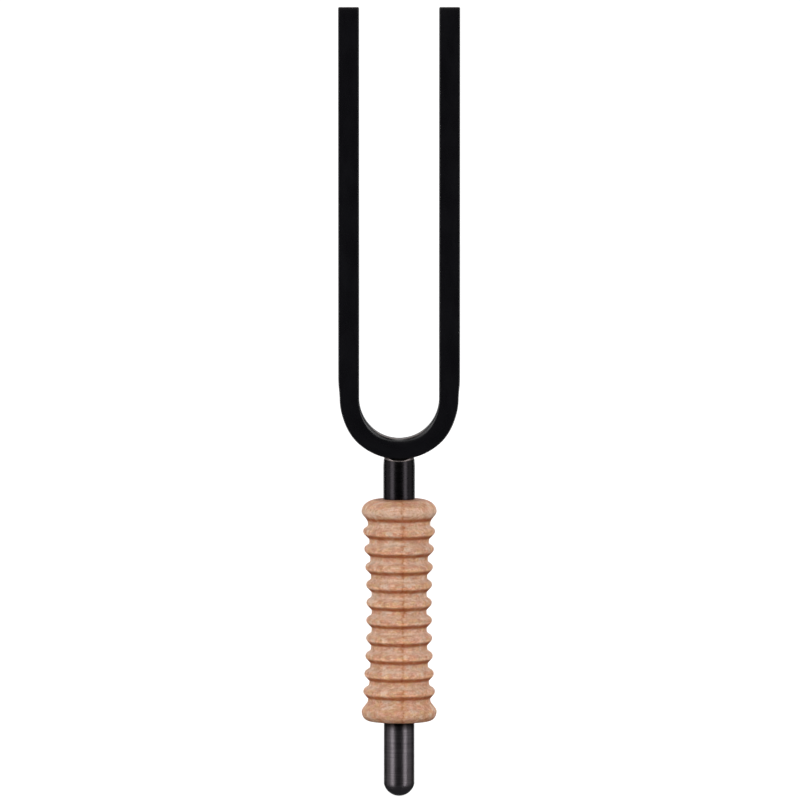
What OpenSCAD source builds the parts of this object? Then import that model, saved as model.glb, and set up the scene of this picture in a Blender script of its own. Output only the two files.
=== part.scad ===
// Tuning fork: a U-bent square steel bar, a round steel stem brazed to it and a turned wooden grip.
// Millimetres. +Z points up towards the prong tips, the two prongs stand side by side along X.
// Origin: the lowest point of the stem's ball nose, on the stem's axis.

/* [Prong bar] */
// side of the square bar that both prongs and the bend are made of
bar_side = 4.0; // [3.4:0.1:4.8]
// clear gap between the two prongs
prong_gap = 15.4; // [12:0.2:20]
// straight length of each prong above the bend
prong_straight = 75.2; // [50:0.1:110]
// chamfer along the bar's long edges
edge_chamfer = 0.25; // [0.1:0.05:0.6]
// chamfer round each prong's end face
tip_chamfer = 0.3; // [0.1:0.05:0.6]

/* [Stem rod] */
// diameter of the neck, between the grip and the bar
neck_d = 6.1; // [5.4:0.1:7]
// bare length of the neck, between the grip and the bar's underside
neck_len = 7.8; // [5:0.1:20]
// diameter of the tail, below the grip
tail_d = 5.9; // [4.6:0.1:6]
// bare length of the tail, from the grip to the ball nose's lowest point
tail_len = 14.6; // [8:0.1:30]
// how much larger the ball nose's radius is than the tail's radius
nose_ease = 0.07; // [0.05:0.01:0.5]
// how far the neck's radius is dressed down where it meets the brazed seam
neck_dress = 0.08; // [0.02:0.02:0.2]
// length over which the neck is dressed down
neck_dress_len = 1.4; // [0.8:0.1:3]
// diameter of the spigot that passes through the bar's base
spigot_d = 2.4; // [1.6:0.1:3]

/* [Brazed seam] */
// thickness of the brazing alloy between the stem and the bar
seam_t = 0.45; // [0.15:0.05:0.5]
// how far the seam's radius stands back from the neck's
seam_inset = 0.15; // [0.05:0.05:0.4]

/* [Grip] */
// number of rings between the two end beads
ring_count = 10; // [4:2:14]
// distance from one ring to the next
ring_pitch = 3.43; // [3.2:0.01:4.5]
// height of a ring above the groove floor beside it
ring_h = 1.02; // [0.8:0.02:1.1]
// radius of the rounding along a ring's crest
crest_round = 0.85; // [0.6:0.05:1]
// slope of a ring's lower flank, which ends in a sharp crease
lower_slope = 43; // [40:1:60]
// slope of a ring's upper flank, which blends into the groove floor
upper_slope = 56; // [50:1:65]
// radius of the blend between a ring's upper flank and the groove floor
cove_round = 0.55; // [0.3:0.05:0.6]
// radius of the groove floors at the grip's waist
waist_groove_r = 5.3; // [4.8:0.02:5.8]
// radius of the last groove floor, next to an end bead
end_groove_r = 6.04; // [5.4:0.02:6.6]
// radius of the two end beads
end_bead_r = 7.24; // [6.8:0.02:8]
// distance from the middle of the last groove to the end bead's crest
end_bead_half = 2.22; // [2:0.02:3]
// length of the domed shoulder above the upper end bead's crest
top_shoulder_len = 2.36; // [1.6:0.02:3.2]
// radius of the flat face at the grip's top
top_face_r = 3.95; // [3.5:0.05:6]
// length of the rounded shoulder below the lower end bead's crest
bottom_shoulder_len = 1.78; // [1.2:0.02:3.2]
// radius of the flat face at the grip's bottom
bottom_face_r = 5.8; // [3.5:0.05:6.4]

/* [Hidden] */
$fn = 72;
eps = 0.01;

steel_black = [0.07, 0.07, 0.08];
steel_grey = [0.36, 0.36, 0.37];
braze_grey = [0.55, 0.54, 0.52];
beech = [0.78, 0.60, 0.48];

neck_r = neck_d / 2;
tail_r = tail_d / 2;
spigot_r = spigot_d / 2;
nose_r = tail_r + nose_ease;
// height at which the ball nose meets the tail's wall
nose_h = nose_r - sqrt(nose_r * nose_r - tail_r * tail_r);
neck_top_r = neck_r - neck_dress;
seam_r = neck_r - seam_inset;

// the grip runs from its bottom face to its top face, and its rings are symmetric about its waist
last_groove_dz = ring_count / 2 * ring_pitch;
end_bead_dz = last_groove_dz + end_bead_half;
top_face_dz = end_bead_dz + top_shoulder_len;
bottom_face_dz = end_bead_dz + bottom_shoulder_len;
grip_bottom_z = tail_len;
waist_z = grip_bottom_z + bottom_face_dz;
grip_top_z = waist_z + top_face_dz;

bend_r_in = prong_gap / 2;
bend_r_out = bend_r_in + bar_side;
bend_r_mid = bend_r_in + bar_side / 2;
bar_bottom_z = grip_top_z + neck_len;
bend_z = bar_bottom_z + bend_r_out;
tip_z = bend_z + prong_straight;

// straight steps that stand for one arc of the grip's outline
crest_steps = 8;
cove_steps = 4;
bead_steps = 6;
shoulder_steps = 10;

// ---- shared shapes ----

// the bar's cross-section: a square with its four corners broken
module bar_section() {
  h = bar_side / 2;
  k = h - edge_chamfer;
  polygon([[-k, -h], [k, -h], [h, -k], [h, k], [k, h], [-k, h], [-h, k], [-h, -k]]);
}

// a cylinder along Y about the bend's centre line, used for the bend's inner and outer faces
module bend_cylinder(r) {
  translate([0, 0, bend_z])
    rotate([90, 0, 0])
      cylinder(r = r, h = 4 * neck_d, center = true);
}

// ---- prong bar ----

module straight_prong(side) {
  translate([side * bend_r_mid, 0, bend_z])
    linear_extrude(height = prong_straight)
      bar_section();
}

module bend() {
  translate([0, 0, bend_z])
    rotate([-90, 0, 0])
      rotate_extrude(angle = 180)
        translate([bend_r_mid, 0])
          bar_section();
}

// four wedges that cut the chamfer round one prong's end face
module tip_cutters(side) {
  cutter = 4 * tip_chamfer;
  translate([side * bend_r_mid, 0, tip_z])
    for (turn = [0 : 90 : 270])
      rotate([0, 0, turn])
        translate([bar_side / 2 - tip_chamfer / 2, 0, -tip_chamfer / 2])
          rotate([0, -45, 0])
            translate([0, -bar_side, -cutter])
              cube([cutter, 2 * bar_side, 2 * cutter]);
}

module prong_bar() {
  color(steel_black)
    difference() {
      union() {
        bend();
        straight_prong(-1);
        straight_prong(1);
      }
      tip_cutters(-1);
      tip_cutters(1);
      translate([0, 0, bar_bottom_z - bar_side])
        cylinder(r = spigot_r, h = 3 * bar_side);
    }
}

// ---- stem rod ----

// half-section of the turned rod: ball nose, tail, taper inside the grip, neck
module stem_section() {
  cope_z = bar_bottom_z + neck_r;
  intersection() {
    translate([0, nose_r])
      circle(r = nose_r);
    square([tail_r, nose_h]);
  }
  polygon([
    [0, nose_h],
    [tail_r, nose_h],
    [tail_r, grip_bottom_z],
    [neck_r, grip_top_z],
    [neck_r, bar_bottom_z - neck_dress_len],
    [neck_top_r, bar_bottom_z],
    [neck_top_r, cope_z],
    [0, cope_z]
  ]);
}

// the rod with its top end coped to the seam's underside
module coped_rod() {
  difference() {
    rotate_extrude()
      stem_section();
    bend_cylinder(bend_r_out + seam_t);
  }
}

// the spigot, dressed flush with the inside of the bend
module spigot() {
  difference() {
    translate([0, 0, grip_top_z + neck_len / 2])
      cylinder(r = spigot_r, h = bend_z - grip_top_z - neck_len / 2);
    bend_cylinder(bend_r_in);
  }
}

module stem_rod() {
  color(steel_grey)
    union() {
      coped_rod();
      spigot();
    }
}

// ---- brazed seam ----

module braze_seam() {
  color(braze_grey)
    difference() {
      intersection() {
        translate([0, 0, bar_bottom_z - seam_t - eps])
          cylinder(r = seam_r, h = neck_r);
        bend_cylinder(bend_r_out + seam_t);
      }
      bend_cylinder(bend_r_out);
      translate([0, 0, bar_bottom_z - bar_side])
        cylinder(r = spigot_r, h = 3 * bar_side);
    }
}

// ---- grip ----

// radius of the groove floor at a distance dz from the waist: it flares parabolically towards the ends
function groove_r(dz) = waist_groove_r + (end_groove_r - waist_groove_r) * pow(dz / last_groove_dz, 2);

// an arc's points [z, height], its angle counted from the outward direction towards +Z
function arc(z, h, r, from, to, steps) =
  [for (i = [0 : steps]) let (a = from + (to - from) * i / steps) [z + r * sin(a), h + r * cos(a)]];

// distance from a ring's crest down to the crease where its lower flank meets the groove floor
crest_low_h = ring_h - crest_round * (1 - cos(lower_slope));
crease_dz = crest_round * sin(lower_slope) + crest_low_h / tan(lower_slope);

// distance from a ring's crest up to the place where its cove meets the groove floor
crest_high_h = ring_h - crest_round * (1 - cos(upper_slope));
cove_high_h = cove_round * (1 - cos(upper_slope));
flank_dz = (crest_high_h - cove_high_h) / tan(upper_slope);
cove_dz = (crest_round + cove_round) * sin(upper_slope) + flank_dz;

// one ring's outline from its crease, over its crest, to the end of its cove
ring_outline = concat(
  [[-crease_dz, 0]],
  arc(0, ring_h - crest_round, crest_round, -lower_slope, upper_slope, crest_steps),
  arc(cove_dz, cove_round, -cove_round, upper_slope, 0, cove_steps)
);

// the same outline standing on the flared groove floor, for the ring whose crest is dz from the waist
function ring_points(dz) = [for (p = ring_outline) [groove_r(dz + p[0]) + p[1], dz + p[0]]];

// the inner half of an end bead, from the last groove to the crest, as half a cosine wave
bead_inner = [for (i = [0 : bead_steps - 1]) let (part = i / bead_steps)
  [end_groove_r + (end_bead_r - end_groove_r) * (1 - cos(180 * part)) / 2,
   last_groove_dz + end_bead_half * part]];

// the outer shoulder of an end bead, a quarter of an ellipse from the crest to the end face
function shoulder(face_r, length) = [for (i = [0 : shoulder_steps]) let (a = 90 * i / shoulder_steps)
  [face_r + (end_bead_r - face_r) * cos(a), end_bead_dz + length * sin(a)]];

// an outline mirrored about the waist, in the opposite order
function mirrored(points) = [for (i = [len(points) - 1 : -1 : 0]) [points[i][0], -points[i][1]]];

module grip_section() {
  first_ring_dz = ring_pitch / 2 - last_groove_dz;
  rings = [for (k = [0 : ring_count - 1]) each ring_points(first_ring_dz + k * ring_pitch)];
  top = concat(bead_inner, shoulder(top_face_r, top_shoulder_len));
  bottom = concat(bead_inner, shoulder(bottom_face_r, bottom_shoulder_len));
  bore = [[neck_r, top_face_dz], [tail_r, -bottom_face_dz]];
  polygon(concat(mirrored(bottom), rings, top, bore));
}

module grip() {
  color(beech)
    translate([0, 0, waist_z])
      rotate_extrude()
        grip_section();
}

prong_bar();
stem_rod();
braze_seam();
grip();
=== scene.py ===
import math
import random

import bpy
import bmesh
import numpy as np
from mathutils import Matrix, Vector, noise


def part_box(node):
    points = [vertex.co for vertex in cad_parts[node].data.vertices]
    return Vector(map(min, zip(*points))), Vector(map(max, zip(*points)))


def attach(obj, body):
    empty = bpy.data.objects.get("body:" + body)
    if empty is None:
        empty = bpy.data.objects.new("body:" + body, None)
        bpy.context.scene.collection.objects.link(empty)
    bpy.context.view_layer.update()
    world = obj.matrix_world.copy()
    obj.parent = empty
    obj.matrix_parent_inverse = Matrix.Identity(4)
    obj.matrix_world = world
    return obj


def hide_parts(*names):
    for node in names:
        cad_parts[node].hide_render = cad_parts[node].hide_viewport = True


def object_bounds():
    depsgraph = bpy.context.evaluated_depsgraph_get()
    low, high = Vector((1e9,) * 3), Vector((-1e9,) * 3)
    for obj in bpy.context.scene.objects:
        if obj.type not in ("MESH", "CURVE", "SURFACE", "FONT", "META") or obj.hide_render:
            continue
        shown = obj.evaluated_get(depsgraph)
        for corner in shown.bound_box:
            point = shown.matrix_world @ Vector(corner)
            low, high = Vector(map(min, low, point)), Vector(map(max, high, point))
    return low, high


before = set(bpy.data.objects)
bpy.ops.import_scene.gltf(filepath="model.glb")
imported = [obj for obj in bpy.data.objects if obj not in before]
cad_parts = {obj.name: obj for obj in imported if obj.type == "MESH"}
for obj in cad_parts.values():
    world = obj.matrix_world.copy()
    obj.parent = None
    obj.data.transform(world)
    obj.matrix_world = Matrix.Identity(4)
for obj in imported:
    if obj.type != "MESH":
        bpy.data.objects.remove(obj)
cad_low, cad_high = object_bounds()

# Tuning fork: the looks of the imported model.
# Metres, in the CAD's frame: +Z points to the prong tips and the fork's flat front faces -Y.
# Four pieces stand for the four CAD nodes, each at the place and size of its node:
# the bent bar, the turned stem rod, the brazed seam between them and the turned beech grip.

MM = 0.001
scene = bpy.context.scene

# ---- sizes, from the CAD nodes ----

bar_low, bar_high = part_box("prong_bar")
stem_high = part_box("stem_rod")[1]
seam_low, seam_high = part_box("braze_seam")
grip_low, grip_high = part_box("grip")

bar_side = bar_high.y - bar_low.y
bend_r_out = bar_high.x
bend_r_in = bend_r_out - bar_side
bend_r_mid = bend_r_out - bar_side / 2
bend_z = bar_low.z + bend_r_out
tip_z = bar_high.z

neck_r = stem_high.x
tail_r = 2.95 * MM
nose_r = 3.02 * MM
spigot_r = 1.2 * MM
neck_dress = 0.08 * MM
neck_top_r = neck_r - neck_dress
neck_dress_len = 1.4 * MM

seam_t = bar_low.z - seam_low.z
seam_r = seam_high.x

# hair gaps between two touching pieces, so that neither shows through the other
spigot_gap = 0.03 * MM
bore_gap = 0.02 * MM
seam_gap = 0.002 * MM

# ---- sizes of the grip's outline ----

ring_count = 10
ring_pitch = 3.43 * MM
ring_h = 1.02 * MM
crest_round = 0.85 * MM
cove_round = 0.55 * MM
lower_slope = math.radians(43)
upper_slope = math.radians(56)
waist_groove_r = 5.3 * MM
end_groove_r = 6.04 * MM
end_bead_r = grip_high.x
end_bead_half = 2.22 * MM
top_shoulder_len = 2.36 * MM
top_face_r = 3.95 * MM
bottom_shoulder_len = 1.78 * MM
bottom_face_r = 5.8 * MM

last_groove_dz = ring_count / 2 * ring_pitch
end_bead_dz = last_groove_dz + end_bead_half
waist_z = grip_low.z + end_bead_dz + bottom_shoulder_len


# ---- mesh helpers ----

def loft(name, rings, looped=False):
    """A closed mesh through rings of points. A fan closes each end, or a loop joins last to first."""
    count = len(rings[0])
    points = [tuple(p) for ring in rings for p in ring]
    faces = []
    last = len(rings) if looped else len(rings) - 1
    for a in range(last):
        b = (a + 1) % len(rings)
        for i in range(count):
            j = (i + 1) % count
            faces.append((a * count + i, a * count + j, b * count + j, b * count + i))
    if not looped:
        for a in (0, len(rings) - 1):
            middle = Vector(np.mean(np.array(rings[a]), axis=0))
            points.append(tuple(middle))
            for i in range(count):
                faces.append((a * count + i, a * count + (i + 1) % count, len(points) - 1))
    mesh = bpy.data.meshes.new(name)
    mesh.from_pydata(points, [], faces)
    face_outward(mesh)
    obj = bpy.data.objects.new(name, mesh)
    scene.collection.objects.link(obj)
    return obj


def height_at(height, x, y):
    """A height is a number, or a function of x and y."""
    return height(x, y) if callable(height) else height


def height_between(lower, upper, part):
    """The height that is a part of the way from one height to another."""
    def height(x, y):
        start = height_at(lower, x, y)
        return start + (height_at(upper, x, y) - start) * part
    return height


def turn_ring(radius, height, count=96, shift=0.0):
    """A ring of points about the stem's axis at a height. It is turned by shift, a part of one step."""
    ring = []
    for i in range(count):
        a = 2 * math.pi * (i + shift) / count
        x, y = radius * math.cos(a), radius * math.sin(a)
        ring.append((x, y, height_at(height, x, y)))
    return ring


def face_outward(mesh):
    work = bmesh.new()
    work.from_mesh(mesh)
    bmesh.ops.recalc_face_normals(work, faces=work.faces)
    work.to_mesh(mesh)
    work.free()


def smooth(obj, sharp_angle):
    """Smooth shading, but for edges that turn by more than sharp_angle degrees."""
    obj.data.shade_smooth()
    obj.data.set_sharp_from_angle(angle=math.radians(sharp_angle))


def point_attribute(obj, name, values):
    """Stores one number or one vector for each point, for the material to read."""
    kind = "FLOAT" if np.ndim(values) == 1 else "FLOAT_VECTOR"
    key = "value" if kind == "FLOAT" else "vector"
    attribute = obj.data.attributes.new(name, kind, "POINT")
    attribute.data.foreach_set(key, np.asarray(values, np.float32).ravel())


def finish_piece(obj, node, material):
    """The piece takes its material, rides on the one body and stands for its CAD node."""
    obj.data.materials.append(material)
    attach(obj, "root")
    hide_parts(node)


def blend_between(low, high, value):
    """0 up to low, 1 from high on, and a smooth step between them. Where low is above high, it falls."""
    part = np.clip((value - low) / (high - low), 0.0, 1.0)
    return float(part * part * (3 - 2 * part))


def hump(value, rise, fall):
    """A smooth step up over rise = (start, end), then a smooth step down over fall = (start, end)."""
    return blend_between(*rise, value) * (1 - blend_between(*fall, value))


def on_bend(radius, x):
    """Height of the lower half of a cylinder along Y about the bend's centre, at x."""
    return bend_z - math.sqrt(radius * radius - x * x)


# ---- material helpers ----

class Shader:
    """The node tree of a new material or world, with short calls that add nodes and link them."""

    def __init__(self, owner):
        owner.use_nodes = True
        self.owner = owner
        self.tree = owner.node_tree
        self.tree.nodes.clear()

    def node(self, kind, **settings):
        made = self.tree.nodes.new(kind)
        for key, value in settings.items():
            setattr(made, key, value)
        return made

    def feed(self, socket, value):
        """Links another node's output to the socket, or sets the socket to a fixed value."""
        if isinstance(value, bpy.types.NodeSocket):
            self.tree.links.new(value, socket)
        else:
            socket.default_value = value

    def math(self, operation, a, b=0.0):
        made = self.node("ShaderNodeMath", operation=operation)
        self.feed(made.inputs[0], a)
        self.feed(made.inputs[1], b)
        return made.outputs[0]

    def plus(self, a, b):
        return self.math("ADD", a, b)

    def minus(self, a, b):
        return self.math("SUBTRACT", a, b)

    def times(self, a, b):
        return self.math("MULTIPLY", a, b)

    def spread(self, value, low, high, to_low=0.0, to_high=1.0):
        """Maps low..high to to_low..to_high with a smooth step. Where low is above high, it falls."""
        made = self.node("ShaderNodeMapRange", interpolation_type="SMOOTHSTEP")
        for socket, number in zip(made.inputs, (value, low, high, to_low, to_high)):
            self.feed(socket, number)
        return made.outputs[0]

    def mix(self, part, a, b, kind="MIX"):
        """Mixes two colours."""
        made = self.node("ShaderNodeMix", data_type="RGBA", blend_type=kind)
        self.feed(made.inputs[0], part)
        self.feed(made.inputs[6], a)
        self.feed(made.inputs[7], b)
        return made.outputs[2]

    def tint(self, colour, target, amount, strength, kind="MIX"):
        """Takes a colour towards the target by amount times strength."""
        return self.mix(self.times(amount, strength), colour, target, kind)

    def mix_numbers(self, part, a, b):
        made = self.node("ShaderNodeMix", data_type="FLOAT")
        self.feed(made.inputs[0], part)
        self.feed(made.inputs[2], a)
        self.feed(made.inputs[3], b)
        return made.outputs[0]

    def place(self):
        """The point's place in millimetres."""
        coordinates = self.node("ShaderNodeTexCoord")
        return self.stretch(coordinates.outputs["Object"], (1 / MM, 1 / MM, 1 / MM))

    def stretch(self, vector, factors):
        made = self.node("ShaderNodeVectorMath", operation="MULTIPLY")
        self.feed(made.inputs[0], vector)
        self.feed(made.inputs[1], factors)
        return made.outputs[0]

    def parts(self, vector):
        """The x, y and z of a vector."""
        made = self.node("ShaderNodeSeparateXYZ")
        self.feed(made.inputs[0], vector)
        return made.outputs[0], made.outputs[1], made.outputs[2]

    def noise(self, vector, size, detail=2.0, roughness=0.5, distortion=0.0, seed=0.0):
        """Smooth noise, 0..1, whose patches measure about size millimetres along x, y and z."""
        made = self.node("ShaderNodeTexNoise", noise_dimensions="4D")
        self.feed(made.inputs["Vector"], self.stretch(vector, tuple(1 / s for s in size)))
        self.feed(made.inputs["W"], seed)
        self.feed(made.inputs["Scale"], 1.0)
        self.feed(made.inputs["Detail"], detail)
        self.feed(made.inputs["Roughness"], roughness)
        self.feed(made.inputs["Distortion"], distortion)
        return made.outputs[0]

    def attribute(self, name, output="Fac"):
        """A value that the mesh carries for each of its points."""
        made = self.node("ShaderNodeAttribute", attribute_name=name)
        return made.outputs[output]

    def bump(self, height, depth, normal=None):
        """Bump from a height of 0..1 that stands for depth millimetres."""
        made = self.node("ShaderNodeBump")
        self.feed(made.inputs["Strength"], 1.0)
        self.feed(made.inputs["Distance"], depth * MM)
        self.feed(made.inputs["Height"], height)
        if normal is not None:
            self.feed(made.inputs["Normal"], normal)
        return made.outputs[0]

    def finish(self, **inputs):
        """Ends the tree with one Principled surface, whose inputs are given with _ for a space."""
        surface = self.node("ShaderNodeBsdfPrincipled")
        for key, value in inputs.items():
            self.feed(surface.inputs[key.replace("_", " ")], value)
        output = self.node("ShaderNodeOutputMaterial")
        self.feed(output.inputs[0], surface.outputs[0])
        return self.owner


def rgb(red, green, blue):
    return (red, green, blue, 1.0)


# ---- materials ----
# Colours are linear. The sizes of noise and the depths of bump are in millimetres.

def black_oxide():
    """Satin black oxide on drawn bar: faint lengthwise scratches, worn edges, and a lighter rim below
    each end face that is partly wear and partly a painted highlight.
    """
    s = Shader(bpy.data.materials.new("black_oxide_bar"))
    place = s.attribute("bar_place", "Vector")
    cloud = s.noise(place, (2.4, 2.4, 7.0), detail=4.0, seed=1.0)
    scratches = s.noise(place, (0.05, 0.05, 6.0), detail=3.0, roughness=0.6, seed=2.0)
    grain = s.noise(place, (0.12, 0.12, 0.16), detail=2.0, seed=3.0)
    wear_patches = s.noise(place, (0.5, 0.5, 1.8), detail=4.0, roughness=0.65, seed=4.0)
    worn = s.times(s.attribute("edge"), s.spread(wear_patches, 0.48, 0.72))
    scratched = s.spread(scratches, 0.62, 0.8)

    colour = s.mix(cloud, rgb(0.0011, 0.0009, 0.0016), rgb(0.0022, 0.0019, 0.0034))
    colour = s.tint(colour, rgb(0.006, 0.006, 0.007), scratched, 0.35)
    colour = s.tint(colour, rgb(0.020, 0.019, 0.019), worn, 0.5)
    # painted highlight: the rim just below each end face is lighter, partly wear and partly where the
    # bevel catches the light
    colour = s.tint(colour, rgb(0.014, 0.0135, 0.014), s.attribute("rim"), 0.6)

    rough = s.spread(cloud, 0.25, 0.75, 0.25, 0.31)
    rough = s.plus(rough, s.times(scratched, -0.04))
    normal = s.bump(grain, 0.004)
    normal = s.bump(scratches, 0.0025, normal)
    return s.finish(Base_Color=colour, Roughness=rough, Normal=normal, Specular_IOR_Level=0.5)


def turned_steel():
    """One turned rod: the neck blackened like the bar, the tail below the grip polished down to a dark
    grey.
    """
    s = Shader(bpy.data.materials.new("turned_steel_rod"))
    place = s.place()
    z = s.parts(place)[2]
    grip_middle = (grip_low.z + grip_high.z) / 2 / MM
    is_neck = s.math("GREATER_THAN", z, grip_middle)
    lines = s.noise(place, (30.0, 30.0, 0.07), detail=3.0, roughness=0.7, seed=5.0)
    broad_lines = s.noise(place, (40.0, 40.0, 0.6), detail=2.0, seed=6.0)
    cloud = s.noise(place, (1.6, 1.6, 2.4), detail=4.0, seed=7.0)
    ridges = s.noise(place, (6.0, 6.0, 0.22), detail=2.0, roughness=0.6, seed=24.0)
    specks = s.noise(place, (0.15, 0.15, 0.15), detail=1.0, seed=8.0)
    pits = s.spread(specks, 0.70, 0.78)

    tail = s.mix(cloud, rgb(0.088, 0.079, 0.086), rgb(0.114, 0.102, 0.111))
    tail = s.tint(tail, rgb(0.15, 0.138, 0.145), s.spread(lines, 0.5, 0.70), 0.55)
    ridge_tint = s.mix(s.spread(ridges, 0.36, 0.64), rgb(0.86, 0.85, 0.86), rgb(1.13, 1.13, 1.13))
    tail = s.mix(1.0, tail, ridge_tint, "MULTIPLY")
    tail = s.tint(tail, rgb(0.04, 0.039, 0.04), pits, 0.6)
    neck = s.mix(cloud, rgb(0.021, 0.0186, 0.0208), rgb(0.032, 0.0283, 0.0318))
    colour = s.mix(is_neck, tail, neck)

    # painted shade: the top of the tail just under the grip is darkened, as if the grip shaded it
    under_grip = s.minus(grip_low.z / MM, z)
    painted_grip_shade = s.times(s.spread(under_grip, 2.0, 0.4), s.minus(1.0, is_neck))
    colour = s.mix(painted_grip_shade, colour, rgb(0.010, 0.007, 0.006))

    rough_tail = s.spread(broad_lines, 0.3, 0.7, 0.27, 0.34)
    rough_neck = s.spread(broad_lines, 0.3, 0.7, 0.22, 0.28)
    rough = s.plus(s.mix_numbers(is_neck, rough_tail, rough_neck), s.times(cloud, 0.06))
    line_depth = s.minus(1.0, s.times(is_neck, 0.9))
    normal = s.bump(s.times(lines, line_depth), 0.0016)
    normal = s.bump(cloud, 0.006, normal)
    normal = s.bump(pits, -0.004, normal)
    return s.finish(Base_Color=colour, Metallic=1.0, Roughness=rough, Normal=normal)


def filed_braze():
    """Dull pinkish-grey brazing alloy, filed by hand, with painted shade darkening its top where it meets
    the bar.
    """
    s = Shader(bpy.data.materials.new("filed_braze_seam"))
    place = s.place()
    marks = s.noise(place, (0.5, 0.5, 0.05), detail=3.0, roughness=0.6, seed=9.0)
    cloud = s.noise(place, (0.7, 0.7, 0.4), detail=4.0, seed=10.0)
    colour = s.mix(cloud, rgb(0.20, 0.17, 0.165), rgb(0.32, 0.275, 0.27))
    # painted shade: the seam's top, where it meets the bar, is darkened
    colour = s.mix(s.attribute("painted_seam_shade"), colour, rgb(0.012, 0.009, 0.008))
    rough = s.spread(marks, 0.3, 0.7, 0.42, 0.56)
    normal = s.bump(marks, 0.01)
    normal = s.bump(cloud, 0.03, normal)
    return s.finish(Base_Color=colour, Metallic=1.0, Roughness=rough, Normal=normal)


def turned_beech():
    """Pink-tan beech. Growth rings stack along X, so the front is quartered and shows the ray flecks."""
    s = Shader(bpy.data.materials.new("turned_beech"))
    place = s.place()

    # growth rings: planes across X that waver, each with a red-brown line, the strongest near the middle
    ring_width = 4.4
    ring_offset = 0.72
    waver = s.noise(place, (60.0, 9.0, 11.0), detail=2.0, seed=11.0)
    wobble = s.noise(place, (3.0, 1.0, 0.9), detail=4.0, roughness=0.7, seed=21.0)
    speckle = s.noise(place, (0.34, 0.34, 0.30), detail=3.0, roughness=0.8, seed=16.0)
    growth = s.parts(place)[0]
    for sway, reach in ((waver, 1.2), (wobble, 1.9), (speckle, 0.8)):
        growth = s.plus(growth, s.times(s.minus(sway, 0.5), reach))
    turns = s.math("DIVIDE", s.minus(growth, ring_offset), ring_width)
    inside = s.math("FRACT", turns)
    nearest_line = s.math("FLOOR", s.plus(turns, 0.5))
    strength = s.spread(s.math("ABSOLUTE", nearest_line), 0.0, 1.0, 1.0, 0.45)

    # the line breaks up, and the wood beside it is stained
    broken = s.noise(place, (0.42, 0.42, 0.6), detail=3.0, roughness=0.7, seed=12.0)
    stain = s.noise(place, (0.9, 0.7, 0.8), detail=4.0, roughness=0.75, seed=23.0)
    after_line = s.spread(inside, 0.0, 0.08, 1.0, 0.0)
    before_line = s.spread(inside, 0.88, 1.0, 0.0, 1.0)
    line = s.times(s.math("MAXIMUM", after_line, before_line), strength)
    line = s.times(line, s.spread(stain, 0.40, 0.58, 0.1, 1.0))
    after_band = s.spread(inside, 0.02, 0.26, 1.0, 0.0)
    before_band = s.spread(inside, 0.78, 0.98, 0.0, 1.0)
    band = s.times(s.math("MAXIMUM", after_band, before_band), strength)
    band = s.times(band, s.spread(stain, 0.42, 0.60))

    # ray flecks: thin ribbons, long in X, thin in Y
    rays = s.noise(place, (1.9, 0.26, 0.42), detail=3.0, roughness=0.6, distortion=0.3, seed=13.0)
    light_fleck = s.spread(rays, 0.53, 0.66)
    dark_fleck = s.spread(rays, 0.46, 0.33)
    satin = s.noise(place, (3.4, 1.3, 1.5), detail=3.0, roughness=0.6, seed=14.0)
    satin_patch = s.spread(satin, 0.52, 0.62)

    # pores run along Z, and the tone drifts over one or two millimetres
    pores = s.noise(place, (0.13, 0.13, 0.6), detail=2.0, roughness=0.6, seed=15.0)
    pore = s.spread(pores, 0.44, 0.30)
    tone = s.noise(place, (1.6, 1.6, 1.2), detail=3.0, roughness=0.5, seed=17.0)
    blush = s.noise(place, (1.3, 0.8, 0.75), detail=3.0, roughness=0.6, seed=18.0)
    mottle = s.noise(place, (1.7, 0.9, 0.8), detail=3.0, roughness=0.6, seed=22.0)

    colour = s.mix(s.spread(tone, 0.38, 0.62), rgb(0.66, 0.355, 0.260), rgb(0.68, 0.410, 0.215))
    colour = s.tint(colour, rgb(0.64, 0.275, 0.165), s.spread(blush, 0.46, 0.60), 0.8)
    # painted light: the upper flanks and the upper end bead's crest are made paler, a painted sheen
    painted_upper_light = s.times(s.attribute("painted_upper_light"), s.spread(broken, 0.3, 0.6, 0.3, 0.6))
    colour = s.mix(painted_upper_light, colour, rgb(0.80, 0.59, 0.46))
    colour = s.tint(colour, rgb(0.82, 0.60, 0.43), light_fleck, 0.65)
    colour = s.tint(colour, rgb(0.49, 0.205, 0.105), dark_fleck, 0.6)
    colour = s.tint(colour, rgb(0.74, 0.555, 0.43), satin_patch, 0.75)
    colour = s.tint(colour, rgb(0.82, 0.59, 0.42), s.spread(speckle, 0.5, 0.70), 0.5)
    colour = s.tint(colour, rgb(0.46, 0.20, 0.105), s.spread(speckle, 0.5, 0.30), 0.5)
    colour = s.tint(colour, rgb(0.34, 0.16, 0.09), pore, 0.45)
    colour = s.tint(colour, rgb(0.62, 0.27, 0.115), band, 0.55)
    colour = s.tint(colour, rgb(0.46, 0.150, 0.050), line, 0.8)
    mottle_tint = s.mix(s.spread(mottle, 0.36, 0.64), rgb(0.82, 0.78, 0.74), rgb(1.04, 1.05, 1.05))
    colour = s.mix(1.0, colour, mottle_tint, "MULTIPLY")

    # the end faces drink dark finish; painted light makes the lower flanks paler, and painted shade
    # darkens the creases and the lower end bead's shoulder
    colour = s.tint(colour, rgb(0.43, 0.31, 0.23), s.attribute("end"), 0.85, "MULTIPLY")
    # painted light: the lower flanks are made paler
    painted_lower_light = s.times(s.attribute("painted_lower_light"), s.spread(speckle, 0.25, 0.6, 0.6, 1.0))
    colour = s.mix(painted_lower_light, colour, rgb(1.32, 1.31, 1.30), "MULTIPLY")
    # painted shade: the creases and the lower end bead's shoulder are darkened and warmed
    crease = s.times(s.attribute("crease"), s.spread(broken, 0.2, 0.7, 0.75, 1.0))
    colour = s.mix(crease, colour, rgb(0.52, 0.245, 0.105), "MULTIPLY")

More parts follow.
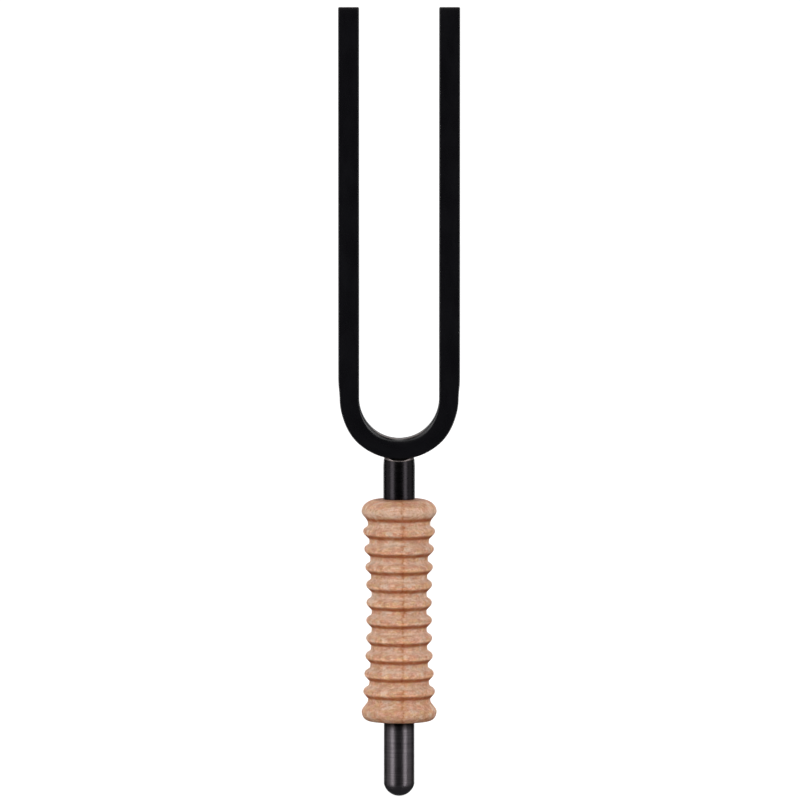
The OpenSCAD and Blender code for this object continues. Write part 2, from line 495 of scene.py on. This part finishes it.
    rough = s.spread(speckle, 0.3, 0.7, 0.58, 0.48)
    rough = s.plus(rough, s.times(satin_patch, -0.08))
    rough = s.plus(rough, s.times(crease, 0.12))
    fibres = s.noise(place, (0.07, 0.07, 1.4), detail=2.0, roughness=0.6, seed=19.0)
    tool_lines = s.noise(place, (25.0, 25.0, 0.10), detail=2.0, roughness=0.6, seed=20.0)
    normal = s.bump(fibres, 0.010)
    normal = s.bump(tool_lines, 0.006, normal)
    normal = s.bump(pore, -0.012, normal)
    return s.finish(Base_Color=colour, Roughness=rough, Normal=normal, Specular_IOR_Level=0.35)


# ---- prong bar ----

bar_straight = tip_z - bend_z
bar_half_turn = math.pi * bend_r_mid
bar_length = 2 * bar_straight + bar_half_turn
# rounding of the bar's long edges, of its inner edges at the middle of the bend, and round its end faces
bar_corner_r = 0.22 * MM
bend_corner_r = 1.1 * MM
bar_end_round = 0.3 * MM
least_corner_r = 0.05 * MM
# the most by which bending has drawn in the bar's outer face
bend_draw_in = 0.26 * MM
prong_stations = 60
bend_stations = 145
# the spigot hole is turned by a part of one step, so that none of its points lines up with the bar's
hole_turn = 0.37


def rounded_square(half, outer_r, inner_r, flat_steps=5, corner_steps=7):
    """Points (u, v) round a square. Its corners are rounded by outer_r where u is high, else by inner_r.
    Support points near the ends of each flat side keep its shading flat."""
    support = 0.05 * MM
    corner_radii = [outer_r, inner_r, inner_r, outer_r]
    points = []
    for turn in range(4):
        start = half - corner_radii[turn - 1]
        corner_r = corner_radii[turn]
        k = half - corner_r
        c, s = round(math.cos(turn * math.pi / 2)), round(math.sin(turn * math.pi / 2))
        side = [(half, -start)]
        side += [(half, t) for t in np.linspace(-start + support, k - support, flat_steps)]
        side.append((half, k))
        for i in range(1, corner_steps):
            a = math.pi / 2 * i / corner_steps
            side.append((k + corner_r * math.cos(a), k + corner_r * math.sin(a)))
        points += [(u * c - v * s, u * s + v * c) for u, v in side]
    return points


def bar_path(distance):
    """The point (x, z) at a distance along the bar's centre line, and the outward direction there.
    The line runs from the left prong's tip, round the bend, to the right prong's tip."""
    if distance < bar_straight:
        return (-bend_r_mid, tip_z - distance), (-1.0, 0.0)
    if distance > bar_straight + bar_half_turn:
        return (bend_r_mid, bend_z + distance - bar_straight - bar_half_turn), (1.0, 0.0)
    a = math.pi + (distance - bar_straight) / bend_r_mid
    return (bend_r_mid * math.cos(a), bend_z + bend_r_mid * math.sin(a)), (math.cos(a), math.sin(a))


def bend_thinning(distance):
    """How far bending has drawn in the bar's outer face, most where each prong runs into the bend."""
    into_bend = min(distance, bar_length - distance) - bar_straight
    return bend_draw_in * hump(into_bend, (-3.5 * MM, 0.0), (2.5 * MM, 8.0 * MM))


def inner_corner_r(distance):
    """Radius of the bar's inner edges: bending has rounded them, most at the middle of the bend."""
    into_bend = min(distance, bar_length - distance) - bar_straight
    bent = blend_between(1.0 * MM, 11.0 * MM, into_bend)
    return bar_corner_r + (bend_corner_r - bar_corner_r) * bent


def bar_stations():
    """Distances along the bar, each with how far its section is drawn in to round the bar's end.
    Close stations beside the rounding keep the shading of the end face and of the flats true."""
    round_steps = 5
    support = 0.08 * MM
    end = [(0.0, bar_end_round + support)]
    for i in range(round_steps + 1):
        a = math.pi / 2 * i / round_steps
        end.append((bar_end_round * (1 - math.cos(a)), bar_end_round * (1 - math.sin(a))))
    first = bar_end_round + 0.1 * MM
    end += [(first, 0.0), (first + support, 0.0)]
    bend_end = bar_straight + bar_half_turn
    middle = list(np.linspace(first + 2 * support, bar_straight, prong_stations))
    middle += list(np.linspace(bar_straight, bend_end, bend_stations))[1:-1]
    middle += list(np.linspace(bend_end, bar_length - first - 2 * support, prong_stations))
    stations = end + [(distance, 0.0) for distance in middle]
    return stations + [(bar_length - distance, inset) for distance, inset in reversed(end)]


def bar_coordinates(point):
    """A point's place on the bar: u across it in the fork's plane, v front to back, and along it."""
    x, y, z = point
    if z > bend_z:
        along = tip_z - z if x < 0 else bar_length - (tip_z - z)
        return abs(x) - bend_r_mid, y, along
    angle = math.atan2(z - bend_z, x) % (2 * math.pi)
    return math.hypot(x, z - bend_z) - bend_r_mid, y, bar_straight + (angle - math.pi) * bend_r_mid


def edge_amount(u, v, along):
    """1 on the bar's rounded edges and ends, 0 on its flats."""
    flat = bar_side / 2 - bar_corner_r
    on_corner = blend_between(-0.1 * MM, 0.05 * MM, min(abs(u), abs(v)) - flat)
    on_end = blend_between(bar_end_round, 0.5 * bar_end_round, min(along, bar_length - along))
    return max(on_corner, on_end)


def rim_wear_and_glint_amount(along):
    """1 on the lighter rim just below each prong's end face: partly wear, partly a painted highlight
    where the bevel catches the light.
    """
    from_end = min(along, bar_length - along)
    return hump(from_end, (0.15 * MM, 0.3 * MM), (0.45 * MM, 0.6 * MM))


def cut_with(obj, cutter):
    """Takes the cutter's volume out of obj, with the slivers that leaves, and deletes the cutter."""
    sliver = 0.0001 * MM
    step = obj.modifiers.new("cut", "BOOLEAN")
    step.operation = "DIFFERENCE"
    step.solver = "EXACT"
    step.object = cutter
    graph = bpy.context.evaluated_depsgraph_get()
    result = bpy.data.meshes.new_from_object(obj.evaluated_get(graph))
    obj.modifiers.clear()
    obj.data = result
    bpy.data.objects.remove(cutter)
    work = bmesh.new()
    work.from_mesh(result)
    bmesh.ops.dissolve_degenerate(work, dist=sliver, edges=work.edges)
    work.to_mesh(result)
    work.free()


def bar_ring(distance, inset):
    """The bar's section at a distance along it, drawn in by inset all round."""
    half = bar_side / 2
    (x, z), (out_x, out_z) = bar_path(distance)
    thin = bend_thinning(distance)
    outer_r = max(bar_corner_r - inset, least_corner_r)
    inner_r = max(inner_corner_r(distance) - inset, least_corner_r)
    ring = []
    for u, v in rounded_square(half - inset, outer_r, inner_r):
        drawn = u - thin * (u + half) / bar_side
        ring.append((x + drawn * out_x, v, z + drawn * out_z))
    return ring


def build_prong_bar():
    bar = loft("prong_bar_body", [bar_ring(distance, inset) for distance, inset in bar_stations()])
    hole_ends = (bar_low.z - MM, bar_low.z + bar_side + MM)
    hole = [turn_ring(spigot_r + spigot_gap, z, shift=hole_turn) for z in hole_ends]
    cut_with(bar, loft("spigot_hole", hole))
    places = [bar_coordinates(vertex.co) for vertex in bar.data.vertices]
    point_attribute(bar, "bar_place", [(u / MM, v / MM, along / MM) for u, v, along in places])
    point_attribute(bar, "edge", [edge_amount(*place) for place in places])
    point_attribute(bar, "rim", [rim_wear_and_glint_amount(along) for u, v, along in places])
    smooth(bar, 35)
    finish_piece(bar, "prong_bar", black_oxide())


# ---- stem rod ----

# rounding of the edge of the neck's coped end
neck_lip = 0.08 * MM
# the spigot's end stands back a little from the inside of the bend, and is slightly domed
spigot_recess = 0.03 * MM
spigot_dome_h = 0.02 * MM
# the first ring of the nose is close to its lowest point
nose_start_a = math.radians(89)
nose_steps = 24
tail_steps = 24


def cope(x, y):
    """Height of the rod's top end, which is coped to fit the seam."""
    return on_bend(bend_r_out + seam_t, x)


def under_cope(depth):
    """The height at a depth under the coped end."""
    return lambda x, y: cope(x, y) - depth


def spigot_end(x, y):
    """Height of the rim of the spigot's end, just short of the inside of the bend."""
    return on_bend(bend_r_in, x) - spigot_recess


def spigot_dome(part):
    """Height of the spigot's domed end at a part of its radius."""
    return lambda x, y: spigot_end(x, y) + spigot_dome_h * (1 - part * part)


def tail_rings():
    """The ball nose, the tail, and the taper inside the grip."""
    nose_top_a = math.acos(tail_r / nose_r)
    nose_top = nose_r - nose_r * math.sin(nose_top_a)
    rings = []
    for a in np.linspace(nose_start_a, nose_top_a, nose_steps):
        rings.append(turn_ring(nose_r * math.cos(a), nose_r - nose_r * math.sin(a)))
    for z in np.linspace(nose_top, grip_low.z, tail_steps)[1:]:
        rings.append(turn_ring(tail_r, z))
    for part in np.linspace(0, 1, 9)[1:]:
        taper_r = tail_r + (neck_r - tail_r) * part
        rings.append(turn_ring(taper_r, grip_low.z + (grip_high.z - grip_low.z) * part))
    return rings


def neck_rings():
    """The neck, dressed down where it nears the seam, with the lip and the face of its coped end."""
    dress_z = bar_low.z - neck_dress_len
    rings = []
    for z in np.linspace(grip_high.z, dress_z, 12)[1:]:
        rings.append(turn_ring(neck_r, z))
    for part in np.linspace(0, 1, 6)[1:]:
        radius = neck_r + (neck_top_r - neck_r) * part
        rings.append(turn_ring(radius, height_between(dress_z, under_cope(neck_lip), part)))
    for a in np.linspace(0, math.pi / 2, 5)[1:]:
        radius = neck_top_r - neck_lip * (1 - math.cos(a))
        rings.append(turn_ring(radius, under_cope(neck_lip * (1 - math.sin(a)))))
    for radius in np.linspace(neck_top_r - neck_lip, spigot_r, 7)[1:]:
        rings.append(turn_ring(radius, cope))
    return rings


def spigot_rings():
    rings = []
    for part in np.linspace(0, 1, 6)[1:]:
        rings.append(turn_ring(spigot_r, height_between(cope, spigot_end, part)))
    for part in (0.92, 0.8, 0.6, 0.4, 0.2, 0.05):
        rings.append(turn_ring(spigot_r * part, spigot_dome(part)))
    return rings


def build_stem_rod():
    stem = loft("stem_rod_body", tail_rings() + neck_rings() + spigot_rings())
    smooth(stem, 40)
    finish_piece(stem, "stem_rod", turned_steel())


# ---- brazed seam ----

# how far the middle of the seam's outer wall bulges, and the height and size of the lumps on its fillets
seam_bulge = 0.06 * MM
seam_lumps = 0.03 * MM
seam_lump_size = 0.5 * MM
# how far a fillet's top has sloped down at the seam's outer wall
fillet_drop = 0.6 * seam_t


def seam_top(x, y):
    """The seam's top fits the bar. In front of the bar and behind it, it is a lumpy sloping fillet."""
    beyond = blend_between(bar_side / 2, seam_r, abs(y))
    lump = noise.noise(Vector((x, y, 0.3 * MM)) / seam_lump_size)
    return on_bend(bend_r_out + fillet_drop * beyond, x) + seam_lumps * lump * beyond


def seam_bottom(x, y):
    """The seam's underside, on the rod's coped end."""
    return on_bend(bend_r_out + seam_t, x) + seam_gap


def build_braze_seam():
    """A saddle of alloy between the rod's coped end and the bar."""
    bore_r = spigot_r + bore_gap
    wall_r = seam_r - seam_bulge
    rings = []
    for radius in np.linspace(bore_r, wall_r, 12):
        rings.append(turn_ring(radius, seam_top))
    # the top rings, which meet the bar, carry the painted shade
    painted_seam_shade = [1.0] * sum(len(ring) for ring in rings)
    for part in (0.25, 0.5, 0.75):
        bulged_r = seam_r - seam_bulge * (1 - math.sin(math.pi * part))
        rings.append(turn_ring(bulged_r, height_between(seam_top, seam_bottom, part)))
    for radius in np.linspace(wall_r, bore_r, 8):
        rings.append(turn_ring(radius, seam_bottom))
    seam = loft("braze_seam_body", rings, looped=True)
    painted_seam_shade += [0.0] * (len(seam.data.vertices) - len(painted_seam_shade))
    point_attribute(seam, "painted_seam_shade", painted_seam_shade)
    smooth(seam, 50)
    finish_piece(seam, "braze_seam", filed_braze())


# ---- grip ----

# each ring is higher or lower by up to this part of its height, and out of place by up to this much
ring_h_spread = 0.03
ring_place_spread = 0.03 * MM
# chamfer of the bore's two edges
bore_edge = 0.12 * MM
outline_step = 0.12 * MM
grip_points = 256
# how far the outside strays from round, in patches: how fast they change round it, and their length in mm
out_of_round = 0.025 * MM
patches_round = 2.2
patch_len = 2.5


def groove_r(dz):
    """Radius of the groove floor at dz from the waist: it flares towards the ends."""
    return waist_groove_r + (end_groove_r - waist_groove_r) * (dz / last_groove_dz) ** 2


def arc(z, height, radius, start, stop, steps):
    """Points (z, height) of an arc, its angle counted from the outward direction towards +Z."""
    angles = np.linspace(start, stop, steps + 1)
    return [(z + radius * math.sin(a), height + radius * math.cos(a)) for a in angles]


crest_low_h = ring_h - crest_round * (1 - math.cos(lower_slope))
crease_dz = crest_round * math.sin(lower_slope) + crest_low_h / math.tan(lower_slope)
crest_high_h = ring_h - crest_round * (1 - math.cos(upper_slope))
cove_high_h = cove_round * (1 - math.cos(upper_slope))
flank_dz = (crest_high_h - cove_high_h) / math.tan(upper_slope)
cove_dz = (crest_round + cove_round) * math.sin(upper_slope) + flank_dz


def ring_outline():
    """One ring's outline as (dz from the crest, height above the groove floor)."""
    outline = [(-crease_dz, 0.0)]
    outline += arc(0, ring_h - crest_round, crest_round, -lower_slope, upper_slope, 16)
    outline += arc(cove_dz, cove_round, -cove_round, upper_slope, 0, 8)
    return outline


def half_bead(shoulder_len, face_r):
    """An end bead's outline (radius, dz) from the last groove over its crest to the end face."""
    points = []
    for part in np.linspace(0, 1, 17)[:-1]:
        wave = (1 - math.cos(math.pi * part)) / 2
        radius = end_groove_r + (end_bead_r - end_groove_r) * wave
        points.append((radius, last_groove_dz + end_bead_half * part))
    for a in np.linspace(0, math.pi / 2, 21):
        radius = face_r + (end_bead_r - face_r) * math.cos(a)
        points.append((radius, end_bead_dz + shoulder_len * math.sin(a)))
    return points


ring_crests = [ring_pitch * (k + 0.5) - last_groove_dz for k in range(ring_count)]


def grip_outline():
    """The grip's whole outline (radius, dz from the waist), from its bottom bore edge to its top one."""
    draw = random.Random(11)
    outline = [(radius, -dz) for radius, dz in reversed(half_bead(bottom_shoulder_len, bottom_face_r))]
    for crest in ring_crests:
        height = 1 + draw.uniform(-ring_h_spread, ring_h_spread)
        shift = draw.uniform(-ring_place_spread, ring_place_spread)
        for dz, above_floor in ring_outline():
            at = crest + dz + shift
            outline.append((groove_r(at) + above_floor * height, at))
    outline += half_bead(top_shoulder_len, top_face_r)
    bottom_dz = -(end_bead_dz + bottom_shoulder_len)
    top_dz = end_bead_dz + top_shoulder_len
    bottom_bore = [(tail_r + bore_gap, bottom_dz + bore_edge), (tail_r + bore_edge, bottom_dz)]
    top_bore = [(neck_r + bore_edge, top_dz), (neck_r + bore_gap, top_dz - bore_edge)]
    return bottom_bore + outline + top_bore


def densify(points, step):
    """The same outline with its longer segments cut into steps."""
    dense = [points[0]]
    for a, b in zip(points, points[1:]):
        length = math.dist(a, b)
        count = max(1, math.ceil(length / step))
        for i in range(1, count + 1):
            dense.append((a[0] + (b[0] - a[0]) * i / count, a[1] + (b[1] - a[1]) * i / count))
    return dense


def crease_amount(dz):
    """Painted shade: 1 in the crease under a ring or the upper end bead, fading up its flank and out on
    the floor.
    """
    bead_drop = 0.53 * MM
    amount = 0.0
    for crest in ring_crests + [end_bead_dz - bead_drop]:
        below = (crest - dz) / crease_dz
        amount = max(amount, hump(below, (0.24, 0.60), (0.75, 1.08)))
    return amount


def painted_lower_light_amount(dz):
    """1 on the lower flank of a ring, which faces down, where painted light makes the grip paler."""
    amount = 0.0
    for crest in ring_crests:
        below = (crest - dz) / crease_dz
        amount = max(amount, hump(below, (-0.05, 0.15), (0.28, 0.50)))
    return amount


def painted_upper_light_amount(dz):
    """1 where painted light makes the wood paler: on a ring's upward-facing flank, and as a painted sheen
    on the upper end bead's crest.
    """
    amount = blend_between(1.3 * MM, 0.3 * MM, abs(dz - end_bead_dz))
    for crest in ring_crests:
        above = (dz - crest) / cove_dz
        amount = max(amount, hump(above, (0.30, 0.60), (0.80, 1.15)))
    return amount


def end_amount(dz):
    """How much an end bead's shoulder looks like end grain: 0.3 past its crest, 1 on the end face."""
    shoulder_len = top_shoulder_len if dz > 0 else bottom_shoulder_len
    part = (abs(dz) - end_bead_dz) / shoulder_len
    return 0.3 * blend_between(0.42, 0.64, part) + 0.7 * blend_between(0.88, 1.0, part)


def shaded_amount(dz):
    """How much painted shade darkens and warms the lower end bead's shoulder, which faces down."""
    part = (-dz - end_bead_dz) / bottom_shoulder_len
    return 0.22 * blend_between(0.2, 0.8, part)


def outside_amount(radius):
    """1 on the outside of the grip, 0 at its bore."""
    return blend_between(neck_r + 0.3 * MM, neck_r + 0.9 * MM, radius)


def grip_ring(radius, dz):
    """The grip's surface at one height. The bore is round, and the outside not quite."""
    ring = []
    for i in range(grip_points):
        a = 2 * math.pi * i / grip_points
        spot = Vector((math.cos(a) * patches_round, math.sin(a) * patches_round, dz / MM / patch_len))
        real_r = radius + noise.noise(spot) * out_of_round * outside_amount(radius)
        ring.append((real_r * math.cos(a), real_r * math.sin(a), waist_z + dz))
    return ring


def build_grip():
    rings = []
    looks = {"crease": [], "painted_lower_light": [], "painted_upper_light": [], "end": []}
    for radius, dz in densify(grip_outline(), outline_step):
        rings.append(grip_ring(radius, dz))
        # painted shade: the creases and the lower end bead's shoulder, on the outside only
        shade_amount = max(crease_amount(dz), shaded_amount(dz)) * outside_amount(radius)
        looks["crease"] += [shade_amount] * grip_points
        looks["painted_lower_light"] += [painted_lower_light_amount(dz)] * grip_points
        looks["painted_upper_light"] += [painted_upper_light_amount(dz)] * grip_points
        looks["end"] += [end_amount(dz)] * grip_points
    grip = loft("grip_body", rings, looped=True)
    for name, values in looks.items():
        point_attribute(grip, name, values)
    smooth(grip, 45)
    finish_piece(grip, "grip", turned_beech())


# ---- studio ----

middle_z = (cad_low.z + cad_high.z) / 2


def softbox(name, azimuth, elevation, distance, width, height, radiance,
            mirrored=True, colour=(1, 1, 1)):
    """A soft area light aimed at the fork's middle. Azimuth 0 is in front, towards -Y, and 90 is to +X.
    Where mirrored is false, the light brightens the wood but leaves no reflection on the steel."""
    light = bpy.data.lights.new(name, "AREA")
    light.shape = "RECTANGLE"
    light.size, light.size_y = width, height
    light.energy = radiance * math.pi * width * height
    light.color = colour
    obj = bpy.data.objects.new(name, light)
    a, e = math.radians(azimuth), math.radians(elevation)
    back = Vector((math.sin(a) * math.cos(e), -math.cos(a) * math.cos(e), math.sin(e)))
    obj.location = Vector((0, 0, middle_z)) + back * distance
    obj.rotation_euler = (-back).to_track_quat("-Z", "Y").to_euler()
    obj.visible_camera = False
    obj.visible_glossy = mirrored
    scene.collection.objects.link(obj)


def build_lights():
    # azimuth and elevation in degrees, then distance, width and height in metres, then radiance
    softbox("front_below", 0, -38, 1.3, 2.4, 0.8, 0.6, mirrored=False)
    softbox("top", 0, 90, 1.3, 0.34, 1.6, 2.1)
    softbox("back_above", 180, 48, 1.4, 1.8, 0.9, 2.3, colour=(1.0, 0.86, 0.82))
    softbox("strip_left", -52, -2, 1.2, 0.54, 1.6, 3.1)
    softbox("strip_right", 47, -2, 1.2, 0.46, 1.6, 3.2)
    for side, name, high in ((-1, "left", 1.13), (1, "right", 1.28)):
        softbox("high_" + name, side * 55, 42, 1.3, 1.4, 0.9, high)
        softbox("high_side_" + name, side * 100, 42, 1.3, 1.0, 0.8, 0.9)
        softbox("side_" + name, side * 88, 0, 1.2, 0.8, 1.4, 0.5)
        softbox("back_strip_" + name, side * 150, 10, 1.3, 0.35, 1.0, 1.0)


def build_world():
    """White to the camera. To the fork, dim, with a pale patch behind it and a faint glow below."""
    world = bpy.data.worlds.new("studio")
    scene.world = world
    s = Shader(world)
    direction = s.parts(s.node("ShaderNodeTexCoord").outputs["Generated"])
    patch_behind = s.spread(direction[1], 0.9, 0.97, 0.03, 0.45)
    glow_below = s.spread(direction[2], -0.6, -0.2, 0.09, 0.0)
    to_fork = s.node("ShaderNodeBackground")
    s.feed(to_fork.inputs["Color"], rgb(0.9, 0.95, 1.0))
    s.feed(to_fork.inputs["Strength"], s.plus(patch_behind, glow_below))
    to_camera = s.node("ShaderNodeBackground")
    s.feed(to_camera.inputs["Color"], rgb(1.0, 1.0, 1.0))
    s.feed(to_camera.inputs["Strength"], 1.1)
    mix = s.node("ShaderNodeMixShader")
    s.feed(mix.inputs[0], s.node("ShaderNodeLightPath").outputs["Is Camera Ray"])
    s.feed(mix.inputs[1], to_fork.outputs[0])
    s.feed(mix.inputs[2], to_camera.outputs[0])
    output = s.node("ShaderNodeOutputWorld")
    s.feed(output.inputs["Surface"], mix.outputs[0])


def build_floor():
    """A pale floor that only the camera sees, so it casts no light back up on the fork."""
    half = 3.0
    corners = [(-half, -half, 0), (half, -half, 0), (half, half, 0), (-half, half, 0)]
    mesh = bpy.data.meshes.new("floor")
    mesh.from_pydata(corners, [], [(0, 1, 2, 3)])
    floor = bpy.data.objects.new("floor", mesh)
    scene.collection.objects.link(floor)
    s = Shader(bpy.data.materials.new("pale_floor"))
    place = s.node("ShaderNodeTexCoord").outputs["Object"]
    from_fork = s.node("ShaderNodeVectorMath", operation="LENGTH")
    s.feed(from_fork.inputs[0], place)
    # painted shadow: the floor's glow dims within 0.2 m of the fork, a soft contact shadow
    glow = s.spread(from_fork.outputs["Value"], 0.02, 0.2, 0.96, 1.05)
    material = s.finish(Base_Color=rgb(0.12, 0.12, 0.12), Roughness=0.9, Specular_IOR_Level=0.0,
                        Emission_Color=rgb(1.0, 1.0, 1.0), Emission_Strength=glow)
    mesh.materials.append(material)
    floor.visible_diffuse = False
    floor.visible_glossy = False
    floor.visible_shadow = False


def build_camera():
    """Level with the prong tips, about 1.3 m in front, tilted down at the middle of the fork."""
    distance = 1.294
    height = 0.1525
    sideways = 0.17 * MM
    aim_z = 0.0766
    frame_height = 0.1541
    sensor = 36.0
    data = bpy.data.cameras.new("camera")
    data.sensor_width = sensor
    data.lens = sensor * math.hypot(distance, height - aim_z) / frame_height
    data.clip_start, data.clip_end = 0.05, 20.0
    camera = bpy.data.objects.new("camera", data)
    camera.location = (sideways, -distance, height)
    look = Vector((0, distance, aim_z - height))
    camera.rotation_euler = look.to_track_quat("-Z", "Y").to_euler()
    scene.collection.objects.link(camera)
    scene.camera = camera


build_prong_bar()
build_stem_rod()
build_braze_seam()
build_grip()
build_lights()
build_world()
build_floor()
build_camera()
scene.view_settings.view_transform = "Standard"
